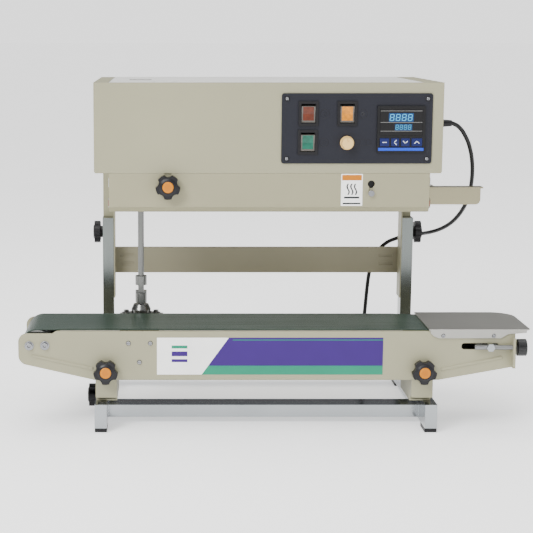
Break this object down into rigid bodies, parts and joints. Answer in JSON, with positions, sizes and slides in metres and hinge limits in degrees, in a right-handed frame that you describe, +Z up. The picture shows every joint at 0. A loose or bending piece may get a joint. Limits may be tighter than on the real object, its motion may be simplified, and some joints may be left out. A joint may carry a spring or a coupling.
{
  "type": "continuous band sealer",
  "caption": "Vertical bag sealer: belt conveyor on a chrome base, sealing head with heated bands on two lift columns, drive shaft, control panel and cord.",
  "frame": {"origin": "centre of the bounding box at floor level, without the cord", "axes": "+X along the conveyor towards the infeed table, +Y from the front plate to the back, +Z up"},
  "size_m": [0.84, 0.4819, 0.573],
  "materials": {
    "beige_paint": "satin powder coat",
    "panel_paint": "satin",
    "steel_sheet": "brushed",
    "chrome": "polished",
    "machined": "machined",
    "black_plastic": "moulded",
    "case_plastic": "moulded",
    "belt_pvc": "woven PVC",
    "roller_rubber": "ground",
    "heater_brass": "machined",
    "cooler_alu": "machined",
    "band_ptfe": "coated glass cloth",
    "motor_paint": "satin",
    "rocker_red": "lit lens",
    "rocker_orange": "lit lens",
    "rocker_green": "lit lens",
    "cream_plastic": "moulded",
    "key_blue": "moulded",
    "cord_pvc": "PVC sheath"
  },
  "bodies": {
    "base": {"base_frame": "chrome", "feet": "black_plastic", "posts": "chrome", "conveyor_brackets": "beige_paint", "power_cord": "cord_pvc", "cord_coil": "cord_pvc", "plug": "cord_pvc"},
    "conveyor": {"side_plate_front": "beige_paint", "side_plate_rear": "beige_paint", "conveyor_bed": "steel_sheet", "conveyor_belt": "belt_pvc", "infeed_table": "steel_sheet", "conveyor_fasteners": "chrome", "gear_bracket": "steel_sheet", "conveyor_bearings": "machined"},
    "head": {"head_plate": "beige_paint", "head_cover": "beige_paint", "head_lid": "beige_paint", "lift_columns": "beige_paint", "rear_panel": "beige_paint", "control_panel": "panel_paint", "head_fasteners": "chrome", "switch_frames": "black_plastic", "controller_case": "case_plastic", "infeed_guide": "steel_sheet", "heating_blocks": "heater_brass", "cooling_blocks": "cooler_alu", "seal_bands": "band_ptfe", "wheel_bearings": "chrome", "gearmotor": "motor_paint", "drive_chain": "machined", "cord_gland": "black_plastic"},
    "rail_knob_body": {"rail_knob": "black_plastic"},
    "column_knob_left_body": {"column_knob_left": "black_plastic"},
    "column_knob_right_body": {"column_knob_right": "black_plastic"},
    "height_knob_left_body": {"height_knob_left": "black_plastic"},
    "height_knob_right_body": {"height_knob_right": "black_plastic"},
    "left_roller_body": {"left_roller": "machined"},
    "drive_roller_body": {"drive_roller": "roller_rubber"},
    "tension_axle_body": {"tension_axle": "chrome"},
    "tension_roller_body": {"tension_roller": "machined"},
    "tension_knob_front_body": {"tension_knob_front": "black_plastic"},
    "drive_line_body": {"drive_line": "machined"},
    "guard_body": {"guard": "beige_paint"},
    "guard_knob_body": {"guard_knob": "black_plastic"},
    "rocker_red_body": {"rocker_red": "rocker_red"},
    "rocker_orange_body": {"rocker_orange": "rocker_orange"},
    "rocker_green_body": {"rocker_green": "rocker_green"},
    "speed_knob_body": {"speed_knob": "cream_plastic"},
    "key_1_body": {"key_1": "key_blue"},
    "key_2_body": {"key_2": "key_blue"},
    "key_3_body": {"key_3": "key_blue"},
    "key_4_body": {"key_4": "key_blue"},
    "wheel_rear_left_body": {"wheel_rear_left": "machined"},
    "wheel_rear_right_body": {"wheel_rear_right": "machined"},
    "wheel_front_left_body": {"wheel_front_left": "machined"},
    "wheel_front_right_body": {"wheel_front_right": "machined"},
    "press_wheel_front_body": {"press_wheel_front": "roller_rubber"},
    "press_wheel_rear_body": {"press_wheel_rear": "roller_rubber"},
    "shaft_hub_body": {"shaft_hub": "machined"}
  },
  "joints": [
    {"name": "conveyor_height", "type": "slide", "parent": "base", "child": "conveyor", "axis": [0, 0, 1], "range_m": [-0.01, 0.012]},
    {"name": "head_height", "type": "slide", "parent": "base", "child": "head", "axis": [0, 0, 1], "range_m": [-0.06, 0.05], "deforming": ["power_cord"]},
    {"name": "rail_knob_turn", "type": "hinge", "parent": "base", "child": "rail_knob_body", "pos_m": [-0.295, -0.0342, 0.029], "axis": [-1, 0, 0], "range_deg": [0, 360]},
    {"name": "column_knob_left_turn", "type": "hinge", "parent": "base", "child": "column_knob_left_body", "pos_m": [-0.293, 0.1378, 0.292], "axis": [-1, 0, 0], "range_deg": [0, 360]},
    {"name": "column_knob_right_turn", "type": "hinge", "parent": "base", "child": "column_knob_right_body", "pos_m": [0.273, 0.1378, 0.292], "axis": [1, 0, 0], "range_deg": [0, 360]},
    {"name": "height_knob_left_turn", "type": "hinge", "parent": "conveyor", "child": "height_knob_left_body", "pos_m": [-0.276, -0.1642, 0.103], "axis": [0, -1, 0], "range_deg": [0, 360]},
    {"name": "height_knob_right_turn", "type": "hinge", "parent": "conveyor", "child": "height_knob_right_body", "pos_m": [0.246, -0.1642, 0.103], "axis": [0, -1, 0], "range_deg": [0, 360]},
    {"name": "guard_knob_turn", "type": "hinge", "parent": "head", "child": "guard_knob_body", "pos_m": [-0.174, -0.1492, 0.406], "axis": [0, -1, 0], "range_deg": [0, 360]},
    {"name": "guard_drop", "type": "slide", "parent": "head", "child": "guard_body", "axis": [0, 0, -1], "range_m": [0, 0.015]},
    {"name": "rocker_red_tilt", "type": "hinge", "parent": "head", "child": "rocker_red_body", "pos_m": [0.052, -0.1442, 0.5235], "axis": [-1, 0, 0], "range_deg": [0, 16]},
    {"name": "rocker_orange_tilt", "type": "hinge", "parent": "head", "child": "rocker_orange_body", "pos_m": [0.1145, -0.1442, 0.5235], "axis": [-1, 0, 0], "range_deg": [0, 16]},
    {"name": "rocker_green_tilt", "type": "hinge", "parent": "head", "child": "rocker_green_body", "pos_m": [0.0515, -0.1442, 0.4775], "axis": [-1, 0, 0], "range_deg": [0, 16]},
    {"name": "speed_knob_turn", "type": "hinge", "parent": "head", "child": "speed_knob_body", "pos_m": [0.1146, -0.1512, 0.4766], "axis": [0, 1, 0], "range_deg": [0, 270]},
    {"name": "key_1_press", "type": "slide", "parent": "head", "child": "key_1_body", "axis": [0, 1, 0], "range_m": [0, 0.0015], "stiffness_N_per_m": 800},
    {"name": "key_2_press", "type": "slide", "parent": "head", "child": "key_2_body", "axis": [0, 1, 0], "range_m": [0, 0.0015], "stiffness_N_per_m": 800},
    {"name": "key_3_press", "type": "slide", "parent": "head", "child": "key_3_body", "axis": [0, 1, 0], "range_m": [0, 0.0015], "stiffness_N_per_m": 800},
    {"name": "key_4_press", "type": "slide", "parent": "head", "child": "key_4_body", "axis": [0, 1, 0], "range_m": [0, 0.0015], "stiffness_N_per_m": 800},
    {"name": "main_drive_spin", "type": "hinge", "parent": "head", "child": "wheel_rear_left_body", "pos_m": [-0.25, -0.0694, 0.375], "axis": [0, 0, -1], "continuous": true},
    {"name": "wheel_rear_right_spin", "type": "hinge", "parent": "head", "child": "wheel_rear_right_body", "pos_m": [0.236, -0.0694, 0.375], "axis": [0, 0, -1], "continuous": true},
    {"name": "wheel_front_left_spin", "type": "hinge", "parent": "head", "child": "wheel_front_left_body", "pos_m": [-0.25, -0.115, 0.375], "axis": [0, 0, -1], "continuous": true},
    {"name": "wheel_front_right_spin", "type": "hinge", "parent": "head", "child": "wheel_front_right_body", "pos_m": [0.236, -0.115, 0.375], "axis": [0, 0, -1], "continuous": true},
    {"name": "press_wheel_front_spin", "type": "hinge", "parent": "head", "child": "press_wheel_front_body", "pos_m": [-0.12, -0.1086, 0.375], "axis": [0, 0, -1], "continuous": true},
    {"name": "press_wheel_rear_spin", "type": "hinge", "parent": "head", "child": "press_wheel_rear_body", "pos_m": [-0.12, -0.0758, 0.375], "axis": [0, 0, -1], "continuous": true},
    {"name": "shaft_hub_spin", "type": "hinge", "parent": "head", "child": "shaft_hub_body", "pos_m": [-0.221, 0.0038, 0.45], "axis": [0, 0, -1], "continuous": true},
    {"name": "drive_line_spin", "type": "hinge", "parent": "conveyor", "child": "drive_line_body", "pos_m": [-0.221, 0.0038, 0.17], "axis": [0, 0, -1], "continuous": true},
    {"name": "drive_roller_spin", "type": "hinge", "parent": "conveyor", "child": "drive_roller_body", "pos_m": [-0.221, -0.0922, 0.138], "axis": [0, -1, 0], "continuous": true},
    {"name": "left_roller_spin", "type": "hinge", "parent": "conveyor", "child": "left_roller_body", "pos_m": [-0.389, -0.0922, 0.1445], "axis": [0, -1, 0], "continuous": true},
    {"name": "tension_knob_turn", "type": "hinge", "parent": "conveyor", "child": "tension_knob_front_body", "pos_m": [0.397, -0.1722, 0.1436], "axis": [-1, 0, 0], "range_deg": [-1440, 1440]},
    {"name": "tension_slide", "type": "slide", "parent": "conveyor", "child": "tension_axle_body", "axis": [1, 0, 0], "range_m": [-0.005, 0.005], "deforming": ["conveyor_belt"]},
    {"name": "tension_roller_spin", "type": "hinge", "parent": "tension_axle_body", "child": "tension_roller_body", "pos_m": [0.354, -0.0922, 0.1436], "axis": [0, -1, 0], "continuous": true}
  ],
  "couplings": [
    {"joint": "wheel_rear_right_spin", "follows": "main_drive_spin", "ratio": 1},
    {"joint": "wheel_front_left_spin", "follows": "main_drive_spin", "ratio": -1},
    {"joint": "wheel_front_right_spin", "follows": "main_drive_spin", "ratio": -1},
    {"joint": "press_wheel_front_spin", "follows": "main_drive_spin", "ratio": -1.4867},
    {"joint": "press_wheel_rear_spin", "follows": "main_drive_spin", "ratio": 1.4867},
    {"joint": "shaft_hub_spin", "follows": "main_drive_spin", "ratio": 1},
    {"joint": "drive_line_spin", "follows": "main_drive_spin", "ratio": 1},
    {"joint": "drive_roller_spin", "follows": "main_drive_spin", "ratio": 1},
    {"joint": "left_roller_spin", "follows": "main_drive_spin", "ratio": 1.1839},
    {"joint": "tension_roller_spin", "follows": "main_drive_spin", "ratio": 1.4645},
    {"joint": "tension_knob_turn", "follows": "tension_slide", "rad_per_m": 5026}
  ]
}
